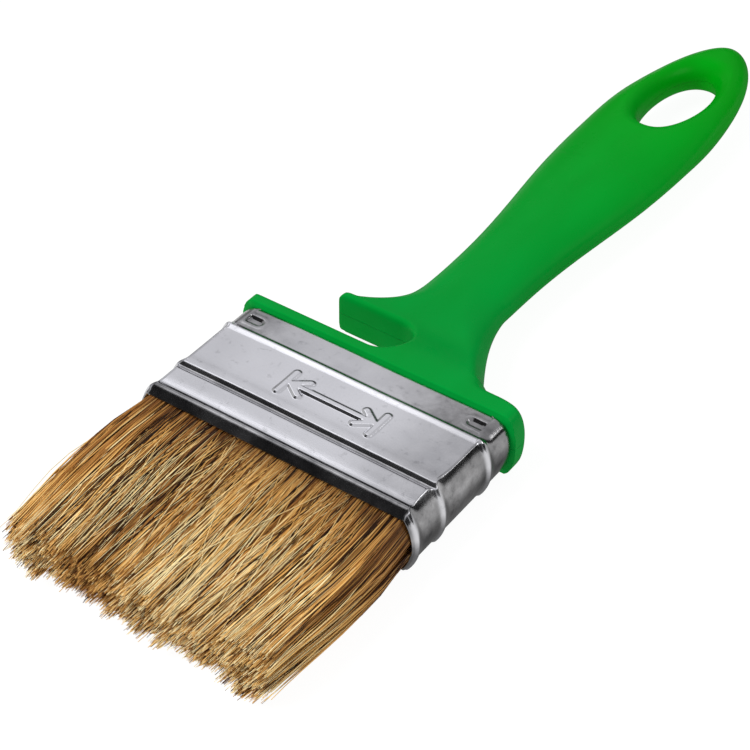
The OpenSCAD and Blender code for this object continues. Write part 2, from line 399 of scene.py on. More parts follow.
def tinned_steel():
    """Bright tinned sheet with smudges and fine scratches, darkened in patches by painted shade, the rim partly
    tarnished.
    """
    material, nodes, links = new_material("tinned_steel")
    place = object_place(nodes)
    smudge = noise(nodes, links, place, 130, 7, 0.62)
    cloud = noise(nodes, links, place, 60, 3, 0.5)
    spots = noise(nodes, links, place, 520, 5, 0.65)
    scratch = noise(nodes, links, stretched(nodes, links, place, (1.0, 14.0, 4.0)), 380, 4, 0.7)
    # Painted shade, with the rim partly tarnished: this attribute mixes the bright tin towards the dark tin
    # colour.
    shade_and_tarnish_node = nodes.new("ShaderNodeAttribute")
    shade_and_tarnish_node.attribute_name = "painted_shade_and_tarnish"
    clean = ramp(nodes, links, cloud, [(0.3, (0.84, 0.84, 0.875)), (0.7, (0.93, 0.93, 0.965))])
    darkening = ramp(nodes, links, smudge, [(0.36, (0.10, 0.10, 0.10)), (0.50, (0.27, 0.265, 0.265)),
                                       (0.66, (0.52, 0.515, 0.52))])
    speckle = ramp(nodes, links, spots, [(0.30, (0.80, 0.80, 0.80)), (0.42, (1, 1, 1))])
    color = mix_colors(nodes, links, shade_and_tarnish_node.outputs["Fac"], clean, darkening)
    shader = principled(nodes, links, Metallic=1.0)
    links.new(mix_colors(nodes, links, 1.0, color, speckle, "MULTIPLY"), shader.inputs["Base Color"])
    links.new(spread(nodes, links, smudge, 0.3, 0.75, 0.12, 0.22), shader.inputs["Roughness"])
    waves = bump(nodes, links, noise(nodes, links, place, 75, 2), 0.0005, 0.20)
    grain = bump(nodes, links, spots, 0.00003, 0.4, waves)
    links.new(bump(nodes, links, scratch, 0.00002, 0.55, grain), shader.inputs["Normal"])
    return material


def bristle_hair():
    """Hog bristle: each strand has its own tone from brown to blond. Painted shade darkens it towards the root by
    the ferrule; towards the tip it is paler, partly its own colour and partly painted light.
    """
    material, nodes, links = new_material("bristle_hair")
    tone = nodes.new("ShaderNodeAttribute")
    tone.attribute_name = "tone"
    along = nodes.new("ShaderNodeAttribute")
    along.attribute_name = "along"
    # Painted light and paler tips: tones are lifted towards the tip.
    lift = spread(nodes, links, along.outputs["Fac"], 0.42, 0.9, 1.0, 2.1)
    lifted = nodes.new("ShaderNodeMath")
    lifted.operation = "MULTIPLY"
    links.new(tone.outputs["Fac"], lifted.inputs[0])
    links.new(lift, lifted.inputs[1])
    strand = ramp(nodes, links, lifted.outputs["Value"], [
        (0.00, (0.014, 0.005, 0.003)), (0.08, (0.08, 0.028, 0.008)), (0.24, (0.42, 0.18, 0.042)),
        (0.50, (0.78, 0.43, 0.125)), (0.80, (0.94, 0.60, 0.21)), (1.00, (1.0, 0.84, 0.48))])
    # Painted shade: darkest at the root, lightening out of the ferrule's mouth to the tip.
    shade = ramp(nodes, links, along.outputs["Fac"], [
        (0.0, (0.30, 0.25, 0.22)), (0.22, (0.42, 0.37, 0.32)), (0.36, (0.74, 0.70, 0.64)),
        (0.6, (0.92, 0.90, 0.84)), (1.0, (1, 1, 1))])
    shader = principled(nodes, links, Roughness=0.40, IOR=1.5)
    shader.inputs["Specular IOR Level"].default_value = HAIR_SPECULAR
    links.new(mix_colors(nodes, links, 1.0, strand, shade, "MULTIPLY"), shader.inputs["Base Color"])
    return material


def raw_wood():
    """Plain softwood of the hidden spacer strip."""
    material, nodes, links = new_material("raw_wood")
    grain = noise(nodes, links, stretched(nodes, links, object_place(nodes), (1.0, 14.0, 14.0)), 110, 6)
    shader = principled(nodes, links, Roughness=0.75)
    links.new(ramp(nodes, links, grain, [(0.3, (0.42, 0.26, 0.12)), (0.7, (0.68, 0.50, 0.29))]),
              shader.inputs["Base Color"])
    return material


def amber_resin():
    """Cured epoxy of the hidden setting block."""
    material, nodes, links = new_material("amber_resin")
    cloud = noise(nodes, links, object_place(nodes), 300, 4)
    shader = principled(nodes, links, Roughness=0.25)
    links.new(ramp(nodes, links, cloud, [(0.3, (0.36, 0.20, 0.06)), (0.7, (0.52, 0.33, 0.12))]),
              shader.inputs["Base Color"])
    return material


# ---------------------------------------------------------------- handle


LIP_OVERHANG = 0.8
LIP_HALF = FERRULE_W / 2 + LIP_OVERHANG
LIP_RISE = 0.4
LIP_Y = 34.0
WAIST_HALF = 8.7
WAIST_Y = 63.0
NECK_HALF_T = 4.6
NECK_L = 15.0
FLARE_REACH, FLARE_POWER = 11.0, 1.5
CORNER_H = 3.3
CORNER_X = 22.8
CORNER_Y = 38.0
SHOULDER_FILLET = 4.0
LIP_END_R = 2.6
LIP_SIDE_R = 2.8
BELLY_HALF = 13.25
TAIL_L = 42.9
BELLY_Y = 130.0
TAIL_BLEND = (112.0, 34.0)
TAIL_EDGE_R = 6.0
GRIP_LEAN, TAIL_LEAN = 0.50, 0.20
HOLE_Y = HANDLE_END - 25.8
HOLE_HALF = (5.9, 13.9)
HOLE_EDGE_R = 4.2
GRIP_SWELL, TAIL_THIN, TAIL_THIN_L = 0.6, 1.0, 30
SLOT_H = 10.9
SLOT_END_X = 1.8
SLOT_R = SLOT_H / 2
SLOT_Y = LIP_Y + SLOT_R
SLOT_EDGE_R, SLOT_FACE_R = 0.9, 1.5
HOOK_X = 18.0
HOOK_TOP = LIP_Y + SLOT_H + 1.4
HOOK_RISE = 10.6
HOOK_EDGE_R = 2.2
TENON_Y = 17.1
LIP_GAP = 0.12
HANDLE_SHARP, FERRULE_SHARP = math.radians(55), math.radians(38)
HANDLE_CELL = 0.5
EDGE_POWER = 2.2
SLOPE_STEP = 0.05


def half_thickness(y):
    h = lerp(HALF_T + LIP_RISE, NECK_HALF_T, smoother((y - LIP_Y) / NECK_L))
    h = h + GRIP_SWELL * smoother((y - WAIST_Y) / (BELLY_Y - WAIST_Y))
    return h - TAIL_THIN * smoother((y - BELLY_Y) / TAIL_THIN_L)


def handle_lean(y):
    """How far the middle of the handle lies towards the plain side."""
    return GRIP_LEAN * smoother((y - 48) / 20) + TAIL_LEAN * smoother((y - BELLY_Y + 10) / (TAIL_L + 10))


def ellipse_distance(x, y, half_x, half_y):
    """Close to the signed distance from an ellipse's edge, negative inside."""
    near = np.sqrt((x / half_x) ** 2 + (y / half_y) ** 2)
    slope = np.sqrt((x / half_x**2) ** 2 + (y / half_y**2) ** 2)
    return np.where(near < 1e-6, -min(half_x, half_y), near * (near - 1) / np.maximum(slope, 1e-9))


def round_corner_distance(x, y, centre_x, centre_y, half_x, half_y):
    """Signed distance from a slab that fills the low side of X and Y and has one round corner."""
    return ellipse_distance(np.maximum(x - centre_x, 0), np.maximum(y - centre_y, 0), half_x, half_y)


def smooth_min(a, b, reach):
    """The smaller of two distances, with a fillet where they are within reach of each other."""
    near = np.maximum(reach - np.abs(a - b), 0) / reach
    return np.minimum(a, b) - near**2 * reach / 4


def grip_reach(y):
    return lerp(WAIST_HALF, BELLY_HALF, smoother((y - WAIST_Y) / (BELLY_Y - WAIST_Y)))


def flare_reach(y):
    """The plain side: flares from the waist to the shoulder's round corner."""
    t = np.clip((WAIST_Y - y) / (WAIST_Y - CORNER_Y), 0, 1)
    return grip_reach(y) + FLARE_REACH * t**FLARE_POWER


def hook_reach(y):
    """The hook's side: turns out sharply to the hook's tip."""
    t = np.clip((HOOK_TOP + HOOK_RISE - y) / HOOK_RISE, 0, 1)
    return grip_reach(y) + (HOOK_X - WAIST_HALF) * t**3


def side_distance(x, y, reach):
    """Signed distance from one side's outline, or from the tail's ellipse past the belly."""
    slope = (reach(y + SLOPE_STEP) - reach(y)) / SLOPE_STEP
    side = (x - reach(y)) / np.sqrt(1 + slope**2)
    tail = ellipse_distance(x, np.maximum(y - BELLY_Y, 0), BELLY_HALF, TAIL_L)
    return np.where(y > BELLY_Y, tail, side)


def rounded(edge, z, edge_r, h, face_r):
    """Level of a slab of half thickness h whose edge is rounded by edge_r across and face_r through."""
    u = np.maximum(0, 1 + edge / edge_r)
    v = np.maximum(0, 1 + (np.abs(z) - h) / face_r)
    return (u**EDGE_POWER + v**EDGE_POWER) ** (1 / EDGE_POWER) - 1


def plain_side_level(x, y, z, h, grip_r):
    corner = round_corner_distance(x, y, CORNER_X, LIP_Y, LIP_HALF - CORNER_X, CORNER_H)
    edge = smooth_min(side_distance(x, y, flare_reach), corner, SHOULDER_FILLET)
    return rounded(edge, z, lerp(LIP_SIDE_R, grip_r, smoother((y - 38) / 26)), h, h)


def hook_side_level(x, y, z, h, grip_r):
    grown = smoother((y - HOOK_TOP) / 15)
    bar = rounded(side_distance(-x, y, hook_reach), z, lerp(HOOK_EDGE_R, grip_r, grown), h,
                  lerp(HOOK_EDGE_R, h, grown))
    corner = round_corner_distance(-x, y, LIP_HALF - LIP_END_R, LIP_Y - LIP_END_R, LIP_END_R, LIP_END_R)
    lip_side = rounded(-x - LIP_HALF, z, LIP_SIDE_R, h, h)
    return np.minimum(bar, np.maximum(rounded(corner, z, SLOT_EDGE_R, h, SLOT_FACE_R), lip_side))


def handle_level(x, y, z):
    """Negative inside the handle, zero on its surface."""
    h = half_thickness(y)
    x = x - handle_lean(y)
    tail_from, tail_over = TAIL_BLEND
    tail_r = lerp(BELLY_HALF, TAIL_EDGE_R, smoother((y - tail_from) / tail_over))
    grip_r = np.where(y > tail_from, tail_r, grip_reach(y))
    hole = -ellipse_distance(x, y - HOLE_Y, *HOLE_HALF)
    slot = SLOT_R - np.hypot(np.maximum(x - (SLOT_END_X - SLOT_R), 0), y - SLOT_Y)
    return np.maximum.reduce([
        plain_side_level(x, y, z, h, grip_r),
        hook_side_level(x, y, z, h, grip_r),
        rounded(hole, z, HOLE_EDGE_R, h, h),
        rounded(slot, z, SLOT_EDGE_R, h, SLOT_FACE_R),
        rounded(FERRULE_L + LIP_GAP - y, z, 0.5, h, 0.9)])


def tenon_level(x, y, z):
    """The tenon inside the ferrule, just clear of the strip."""
    beyond = np.maximum(np.abs(x) - SIDE_X, 0)
    across = np.where(beyond > 0, np.hypot(beyond, z) - (SIDE_R - STRIP_T - 0.5), -1)
    through = np.abs(z) - (HALF_T - STRIP_T - 0.9)
    along = np.maximum(TENON_Y - y, y - FERRULE_L - 0.6)
    return np.maximum(np.maximum(across, through), along)


def brush_handle_level(x, y, z):
    return np.minimum(handle_level(x, y, z), tenon_level(x, y, z))


def surface_net(level, low, high, cell):
    """Points and quads of the zero surface of level, one point for each grid cell that it crosses."""
    axes = [np.arange(a, b + cell, cell) for a, b in zip(low, high)]
    grid = level(*np.meshgrid(*axes, indexing="ij"))
    inside = grid < 0
    shape = tuple(n - 1 for n in grid.shape)
    total = np.zeros(shape)
    place = np.zeros(shape + (3,))
    base = np.stack(np.meshgrid(*[a[:-1] for a in axes], indexing="ij"), -1)
    crossings = []
    for axis in range(3):
        first = tuple(slice(None, -1) if k == axis else slice(None) for k in range(3))
        second = tuple(slice(1, None) if k == axis else slice(None) for k in range(3))
        cut = inside[first] != inside[second]
        share = np.where(cut, grid[first] / np.where(cut, grid[first] - grid[second], 1), 0)
        crossings.append((cut, inside[first]))
        others = [k for k in range(3) if k != axis]
        for du in (0, 1):
            for dv in (0, 1):
                window = [slice(None)] * 3
                window[others[0]] = slice(du, du + shape[others[0]])
                window[others[1]] = slice(dv, dv + shape[others[1]])
                window = tuple(window)
                hit = cut[window]
                offset = np.zeros(shape + (3,))
                offset[..., axis] = share[window]
                offset[..., others[0]] = du
                offset[..., others[1]] = dv
                place += offset * hit[..., None]
                total += hit
    active = total > 0
    number = np.full(shape, -1)
    number[active] = np.arange(active.sum())
    points = base[active] + cell * place[active] / total[active][:, None]
    quads = []
    for axis, (cut, starts_inside) in enumerate(crossings):
        u, v = [(1, 2), (2, 0), (0, 1)][axis]
        where = np.argwhere(cut)
        where = where[(where[:, u] > 0) & (where[:, v] > 0)]
        ring = []
        for du, dv in ((1, 1), (0, 1), (0, 0), (1, 0)):
            spot = where.copy()
            spot[:, u] -= du
            spot[:, v] -= dv
            ring.append(number[tuple(spot.T)])
        quad = np.stack(ring, -1)
        flip = ~starts_inside[tuple(where.T)]
        quad[flip] = quad[flip][:, ::-1]
        quads.append(quad)
    return points, np.concatenate(quads)


def settle(level, points, rounds=5, step=0.03, limit=0.25):
    """Moves points onto the zero surface along its slope."""
    for _ in range(rounds):
        value = level(*points.T)
        slope = np.empty_like(points)
        for axis in range(3):
            ahead, behind = points.copy(), points.copy()
            ahead[:, axis] += step
            behind[:, axis] -= step
            slope[:, axis] = (level(*ahead.T) - level(*behind.T)) / (2 * step)
        move = -value[:, None] * slope / np.maximum((slope**2).sum(1), 1e-6)[:, None]
        length = np.linalg.norm(move, axis=1)
        move *= np.minimum(1, limit / np.maximum(length, 1e-9))[:, None]
        points = points + move
    return points


def make_handle():
    low = (-LIP_HALF - 1.02, TENON_Y - 1.03, -HALF_T - 1.01)
    high = (LIP_HALF + 1.5, HANDLE_END + 1.5, HALF_T + 1.5)
    points, quads = surface_net(brush_handle_level, low, high, HANDLE_CELL)
    points = settle(brush_handle_level, points)
    piece = make_mesh("moulded_handle", points, quads)
    piece.data.set_sharp_from_angle(angle=HANDLE_SHARP)
    piece.data.materials.append(green_plastic())
    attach(piece, HEAD_BODY)
    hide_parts("handle")


# ---------------------------------------------------------------- ferrule


# Outline of the wide panels from the mouth to the top: distance along Y, and rise from the main panel.
PANEL_PROFILE = [
    (0.90, -1.05), (0.35, -0.90), (0.20, -0.66), (0.42, -0.40), (1.00, 0.02), (1.60, 0.36), (2.10, 0.52),
    (2.45, 0.55), (2.75, 0.50), (3.10, 0.34), (3.40, 0.25), (3.80, 0.27), (4.60, 0.35), (5.60, 0.41),
    (6.80, 0.43), (7.90, 0.40), (8.30, 0.30), (8.70, 0.06), (9.05, -0.10), (9.30, -0.12), (9.60, 0.00),
    (10.0, 0.27), (10.35, 0.36), (10.8, 0.36), (11.6, 0.30), (13.0, 0.16), (15.0, 0.05), (18.0, 0.0),
    (22.2, 0.0), (22.5, -0.02), (22.8, 0.01), (23.3, 0.10), (23.75, 0.18), (24.0, 0.15), (24.25, 0.0),
    (24.55, -0.24), (24.9, -0.36), (25.4, -0.39), (26.4, -0.35), (28.0, -0.34), (30.6, -0.42)]
SIDE_CRESTS = (1.5, 9.5, 23.8)
CREST_RISE = 0.45
CREST_BELOW, CREST_ABOVE = 0.45, 1.2
EDGE_R_LOW, EDGE_R_HIGH, EDGE_FROM_Y, EDGE_OVER_Y = 0.35, 2.9, 21.5, 5.5
DENT_DEPTH, DENT_REACH = 0.55, 1.3
SYMBOL_RISE, SYMBOL_STROKE = 0.36, 0.75
DISH, DISH_WAVE = 0.16, 0.05
TOP_EDGE = [(30.9, -0.46), (31.0, -0.58), (30.9, -0.72)]
INSIDE_RISE, INSIDE_Y, INSIDE_POINTS = -0.75, (30.0, 4.0), 14
INSIDE_MOUTH = [(2.4, -0.85), (1.4, -1.15)]
# Painted shade, with the rim partly tarnished, from 0 for bright tin to 1 for dark.
SIDE_FROM_X, SIDE_OVER_X, SIDE_PAINTED_SHADE = 27.0, 1.4, 0.86
BAND_Y, BAND_OVER, BAND_PAINTED_SHADE, BAND_END_PAINTED_SHADE = 24.3, 0.9, 0.25, 0.6
RIM_TO_Y, RIM_OVER, RIM_SHADE_AND_TARNISH = 3.0, 0.7, 0.85
GROOVES = ((9.25, 0.75, 0.75), (24.5, 0.35, 0.5))
FAR_PAINTED_SHADE, NEAR_PAINTED_SHADE = 0.42, 0.08
PROFILE_STEPS = 170
FACE_COLUMNS = 300
BACK_COLUMNS = 160
SIDE_COLUMNS = 34
CORNER_COLUMNS = 8
DENT_X, DENT_Y, DENT_HALF_L = 25.4, 27.6, 1.7
SYMBOL_X, SYMBOL_Y = 1.2, 16.6
SYMBOL_HALF_W, SYMBOL_HALF_H = 10.0, 3.0
ARROW_L, ARROW_SLOPE = 3.6, math.radians(35)
LAP_X, LAP_HALF = -20.0, 2.5


def spline(points, count):
    """A smooth curve through points, with count evenly spaced samples."""
    points = np.asarray(points, float)
    padded = np.vstack([2 * points[0] - points[1], points, 2 * points[-1] - points[-2]])
    fine = []
    for i in range(1, len(padded) - 2):
        p0, p1, p2, p3 = padded[i - 1 : i + 3]
        t = np.linspace(0, 1, 24, endpoint=False)[:, None]
        fine.append(0.5 * (2 * p1 + (p2 - p0) * t + (2 * p0 - 5 * p1 + 4 * p2 - p3) * t**2
                           + (3 * p1 - p0 - 3 * p2 + p3) * t**3))
    fine = np.vstack([*fine, points[-1:]])
    length = np.r_[0, np.cumsum(np.linalg.norm(np.diff(fine, axis=0), axis=1))]
    at = np.linspace(0, length[-1], count)
    return np.stack([np.interp(at, length, fine[:, k]) for k in range(2)], -1)


def corner_round(y):
    """Radius of the four long edges: sharp at the bristle end, rounder where the strip grips the tenon."""
    return lerp(EDGE_R_LOW, EDGE_R_HIGH, smoother((y - EDGE_FROM_Y) / EDGE_OVER_Y))


def arc(x, z, r, start, stop, count):
    turn = np.linspace(start, stop, count, endpoint=False)
    return np.stack([x + r * np.cos(turn), z + r * np.sin(turn)], -1)


def side_crests(y):
    """How strongly a point is on one of the ridges round the narrow sides: steep below, gentle above."""
    away = [np.where(y < crest, (y - crest) / CREST_BELOW, (y - crest) / CREST_ABOVE) for crest in SIDE_CRESTS]
    return np.max([np.exp(-(t**2)) for t in away], axis=0)


def section(panel_rise, side_rise, corner_r):
    """Points round the ferrule's section: front panel, plain side, back panel, other side."""
    half_z, side_r = HALF_T + panel_rise, SIDE_R + side_rise
    corner_z = half_z - corner_r
    corner_x = SIDE_X + math.sqrt((side_r - corner_r) ** 2 - corner_z**2)
    bow = math.atan2(corner_z, corner_x - SIDE_X)
    quarter = math.pi / 2
    right = np.concatenate([
        arc(corner_x, corner_z, corner_r, quarter, bow, CORNER_COLUMNS),
        arc(SIDE_X, 0, side_r, bow, -bow, SIDE_COLUMNS),
        arc(corner_x, -corner_z, corner_r, -bow, -quarter, CORNER_COLUMNS)])
    front = np.linspace(-corner_x, corner_x, FACE_COLUMNS, endpoint=False)
    back = np.linspace(corner_x, -corner_x, BACK_COLUMNS, endpoint=False)
    return np.concatenate([
        np.stack([front, np.full_like(front, half_z)], -1), right,
        np.stack([back, np.full_like(back, -half_z)], -1), -right])


def bar_distance(x, y, a, b):
    """Distance from the straight line between a and b."""
    a, b = np.asarray(a), np.asarray(b)
    d = b - a
    t = np.clip(((x - a[0]) * d[0] + (y - a[1]) * d[1]) / (d @ d), 0, 1)
    return np.hypot(x - a[0] - t * d[0], y - a[1] - t * d[1])


def symbol_distance(x, y):
    """Distance from a double-headed width arrow between two end bars."""
    x, y = x - SYMBOL_X, y - SYMBOL_Y
    tip = SYMBOL_HALF_W - 0.9
    away = bar_distance(x, y, (-tip, 0), (tip, 0))
    for side in (-1, 1):
        away = np.minimum(away, bar_distance(x, y, (side * SYMBOL_HALF_W, -SYMBOL_HALF_H),
                                             (side * SYMBOL_HALF_W, SYMBOL_HALF_H)))
        for slope in (-1, 1):
            end = (side * (tip - ARROW_L * math.cos(ARROW_SLOPE)), slope * ARROW_L * math.sin(ARROW_SLOPE))
            away = np.minimum(away, bar_distance(x, y, (side * tip, 0), end))
    return away


def dent_distance(x, y):
    return np.minimum(bar_distance(x, y, (DENT_X - DENT_HALF_L, DENT_Y), (DENT_X + DENT_HALF_L, DENT_Y)),
                      bar_distance(x, y, (-DENT_X - DENT_HALF_L, DENT_Y), (-DENT_X + DENT_HALF_L, DENT_Y)))


def panel_relief(x, y, front):
    """Rise of the pressed marks above the front or back panel."""
    away = dent_distance(x, y)
    rise = -DENT_DEPTH * smoother(1 - away / DENT_REACH) + 0.06 * np.exp(-((away - 1.5) / 0.4) ** 2)
    if front:
        return rise + SYMBOL_RISE * smoother(1.45 - symbol_distance(x, y) / SYMBOL_STROKE)
    lap = smoother((LAP_HALF - np.abs(x - LAP_X)) / 0.25 + 0.5)
    return rise + STRIP_T * 0.8 * lap


def painted_shade_and_tarnish(x, y):
    """Painted shade on the tin, with the rim partly tarnished: darker on the narrow sides between the ridges, in a
    band by the handle, in the grooves, at the rim and towards the ends.
    """
    # Painted shade on the narrow sides, less on their ridges.
    side = smoother((np.abs(x) - SIDE_FROM_X) / SIDE_OVER_X)
    ridge = np.max([np.exp(-(((y - crest + 0.25) / 0.55) ** 2)) for crest in SIDE_CRESTS], axis=0)
    # Painted shade in a band by the handle, darker towards its ends.
    band_ends = smoother((np.abs(x + 4) - 4) / 24)
    band = smoother((y - BAND_Y) / BAND_OVER) * (BAND_PAINTED_SHADE + BAND_END_PAINTED_SHADE * band_ends)
    # Painted shade in the grooves.
    groove = sum(np.exp(-(((y - middle) / half_w) ** 2)) * darkening for middle, half_w, darkening in GROOVES)
    # The rim: painted shade, partly tarnished.
    rim = smoother((RIM_TO_Y - y) / RIM_OVER) * RIM_SHADE_AND_TARNISH
    # Painted shade towards both ends of the panels, more towards +X.
    far = FAR_PAINTED_SHADE * smoother((x - 4) / 24) + NEAR_PAINTED_SHADE * smoother((-x - 12) / 14)
    return lerp(np.maximum.reduce([band, groove, rim, far]), SIDE_PAINTED_SHADE * (1 - 0.9 * ridge), side)


def make_ferrule():
    """A closed skin: up the outside, round the top edge, and down the inside of the strip."""
    outer = spline(PANEL_PROFILE, PROFILE_STEPS)
    inner = [(y, INSIDE_RISE) for y in np.linspace(*INSIDE_Y, INSIDE_POINTS)] + INSIDE_MOUTH
    profile = np.vstack([outer, TOP_EDGE, inner])
    side_rise = CREST_RISE * side_crests(profile[:, 0])
    curled = np.minimum(0, profile[:, 1] + 0.4)
    side_rise[:PROFILE_STEPS] += np.where(outer[:, 0] < 1.2, curled[:PROFILE_STEPS], 0)
    side_rise[PROFILE_STEPS:] = profile[PROFILE_STEPS:, 1]
    rows = len(profile)
    ring = np.stack([section(rise, side, corner_round(y)) for (y, rise), side in zip(profile, side_rise)])
    columns = ring.shape[1]
    points = np.empty((rows, columns, 3))
    points[..., 0] = ring[..., 0]
    points[..., 1] = profile[:, 0][:, None]
    points[..., 2] = ring[..., 1]
    back_start = FACE_COLUMNS + SIDE_COLUMNS + 2 * CORNER_COLUMNS
    pressed = slice(0, PROFILE_STEPS)
    front, back = slice(1, FACE_COLUMNS), slice(back_start + 1, back_start + BACK_COLUMNS)
    points[pressed, front, 2] += panel_relief(points[pressed, front, 0], points[pressed, front, 1], True)
    points[pressed, back, 2] -= panel_relief(points[pressed, back, 0], points[pressed, back, 1], False)
    dish = DISH * (points[..., 0] / FERRULE_W * 2) ** 2 + DISH_WAVE * np.sin(points[..., 0] / 7.0 + 0.6)
    points[:, front, 2] -= dish[:, front]
    points[:, back, 2] += dish[:, back]
    number = np.arange(rows * columns).reshape(rows, columns)
    below, right = np.roll(number, -1, 0), np.roll(number, -1, 1)
    quads = np.stack([number, below, np.roll(below, -1, 1), right], -1).reshape(-1, 4)
    piece = make_mesh("pressed_ferrule", points.reshape(-1, 3), quads[:, ::-1])
    # Painted shade, with the rim partly tarnished, for each point.
    darkening = painted_shade_and_tarnish(*points.reshape(-1, 3)[:, :2].T).astype(np.float32)
    piece.data.attributes.new("painted_shade_and_tarnish", "FLOAT", "POINT").data.foreach_set("value", darkening)
    piece.data.set_sharp_from_angle(angle=FERRULE_SHARP)
    piece.data.materials.append(tinned_steel())
    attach(piece, HEAD_BODY)
    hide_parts("ferrule")


# ---------------------------------------------------------------- bristles


LOCKS_PER_PACK = 4
STRANDS_PER_LOCK = 1600
STRAYS = 750
STRAND_SIDES = 3
STRAND_R = (0.09, 0.18)
PACK_HALF_X = 29.4
PACK_HALF_Z = 5.55
TIP_HALF_X = 27.5
TIP_HALF_Z = 4.3
SWELL_X = 1.3
SPACER_HALF_T = 1.55
CLUMP_PITCH = 2.3
STRAND_TWIST = 2.39996
TIP_TAPER = 0.62
DARK_SHARE, DARK_TONE = 0.19, 0.10
DARK_PATCHES = ((11, 9, 0.38), (12, 6, 0.40))
STRAY_DARK_SHARE, STRAY_DARK_TONE = 0.14, 0.02
STRAY_R = (0.065, 0.10)
STRAY_FRONT_SHARE, STRAY_DRIFT, STRAY_BOW = 0.6, 4.5, 1.3
CORNER_FROM_X, CORNER_OVER_X, CORNER_SHORTER = 23, 4, 1.3
SHORT_SHARE, SHORT_BY = 0.45, 1.6
LENGTH_JITTER, TIP_JITTER = 0.6, 0.7
LONGEST = BRISTLE_L + 1.2
STATIONS = np.array([ROOT_TOP, 4.5, 0.3, -4.0, -9.0, -14.5, -20.0, -25.5, -30.5, -35.0, -BRISTLE_L])


def side_limit(z, half_x, half_z):
    """How far out strands reach at height z, following the ferrule's bowed sides."""
    return half_x - SIDE_BOW * (z / half_z) ** 2


def chance(key, seed):
    """A number from 0 to 1 that is the same for every strand of one clump."""
    return np.abs(np.sin(key * 12.9898 + seed * 78.233) * 43758.5453) % 1


def tangle(rng, count, size, waves):
    """Slow sideways wander along each strand: count rows of one value for each station."""
    t = np.linspace(0, 1, len(STATIONS))
    total = np.zeros((count, len(STATIONS)))
    for wave in waves:
        phase = rng.uniform(0, 2 * math.pi, (count, 1))
        total += rng.normal(0, size, (count, 1)) * np.sin(2 * math.pi * wave * t + phase)
    return total


def strand_paths(rng, count, low_x, high_x, face):
    """Centre lines of one lock of strands between low_x and high_x, on the front (1) or back (-1) pack."""
    z = rng.uniform(0.03, 1, count) ** 0.75 * PACK_HALF_Z
    x = rng.uniform(low_x, high_x, count)
    limit = side_limit(z, PACK_HALF_X, PACK_HALF_Z)
    x = np.clip(x, -limit, limit)
    tip_x = x * TIP_HALF_X / PACK_HALF_X
    tip_z = z * TIP_HALF_Z / PACK_HALF_Z
    cell_x = np.floor(tip_x / CLUMP_PITCH + 0.45 * np.sin(tip_z * 1.7 + face) + 0.3 * np.sin(tip_x * 0.37))
    cell_z = np.floor(tip_z / (CLUMP_PITCH * 0.7) + 0.3 * np.sin(tip_x * 0.9))
    key = cell_x * 31 + cell_z * 17 + (5 if face > 0 else 911)
    centre_x = (cell_x + 0.5) * CLUMP_PITCH - 0.8 * np.sin(tip_z * 1.7 + face)
    centre_x = centre_x + (chance(key, 1) - 0.5) * 2.2
    centre_z = (cell_z + 0.5) * CLUMP_PITCH * 0.7
    pull = 0.15 + 0.6 * chance(key, 2)
    length = BRISTLE_L - 0.9 + 0.5 * np.sin(tip_x * 0.23 + 1.1) + 3.0 * (chance(key, 3) - 0.62)
    length += rng.normal(0, LENGTH_JITTER, count)
    length -= np.abs(rng.normal(0, SHORT_BY, count)) * (rng.uniform(0, 1, count) < SHORT_SHARE)
    length -= CORNER_SHORTER * smoother((np.abs(tip_x) - CORNER_FROM_X) / CORNER_OVER_X)
    length = np.minimum(length, LONGEST)
    out = np.clip(-STATIONS / BRISTLE_L, 0, 1)[None, :]
    free = np.minimum(1, out * 5)
    gather = out**1.8 * pull[:, None]
    swell = x[:, None] / PACK_HALF_X * SWELL_X * np.sin(out * math.pi)
    xs = lerp(x[:, None], tip_x[:, None], out**1.15) + swell
    xs = lerp(xs, centre_x[:, None], gather) + tangle(rng, count, 0.20, (0.6, 1.3)) * free
    xs += rng.normal(0, TIP_JITTER, (count, 1)) * out
    zs = lerp(z[:, None], tip_z[:, None], out)
    zs = lerp(zs, centre_z[:, None], gather * 0.7) + tangle(rng, count, 0.12, (0.7, 1.5)) * free
    gripped = lerp(SPACER_HALF_T, PACK_HALF_Z, z / PACK_HALF_Z)[:, None]
    inside = np.array([1.0, 1.0, 0.25] + [0.0] * (len(STATIONS) - 3))[None, :]
    zs = lerp(zs, gripped, inside)
    ys = np.broadcast_to(STATIONS, xs.shape).copy()
    ys[:, 3:] *= (length / BRISTLE_L)[:, None]
    return np.stack([xs, ys, zs * face], -1)


def stray_paths(rng, count):
    """Loose strands that lie across the front and back of the packs."""
    face = np.where(rng.uniform(0, 1, count) < STRAY_FRONT_SHARE, 1, -1)
    x = rng.uniform(-PACK_HALF_X + 2.2, PACK_HALF_X - 2.2, count)
    drift = rng.normal(0, STRAY_DRIFT, count)
    drift = np.clip(x + drift, -TIP_HALF_X - 0.6, TIP_HALF_X + 0.6) - x
    out = np.clip(-STATIONS / BRISTLE_L, 0, 1)[None, :]
    bow = rng.normal(0, STRAY_BOW, count)[:, None] * np.sin(out * math.pi)
    xs = x[:, None] + drift[:, None] * out ** rng.uniform(0.8, 1.6, count)[:, None] + bow
    surface = lerp(PACK_HALF_Z - 0.15, TIP_HALF_Z, out)
    lift = rng.uniform(-0.15, 0.5, count)[:, None] * np.sin(np.clip(out * 1.15, 0, 1) * math.pi)
    edge = np.clip(np.abs(xs) / PACK_HALF_X, 0, 1) ** 6
    zs = surface + lift - 1.6 * edge
    ys = np.broadcast_to(STATIONS, xs.shape).copy()
    ys[:, 3:] *= rng.uniform(0.45, 0.98, count)[:, None]
    return np.stack([xs, ys, zs * face[:, None]], -1)


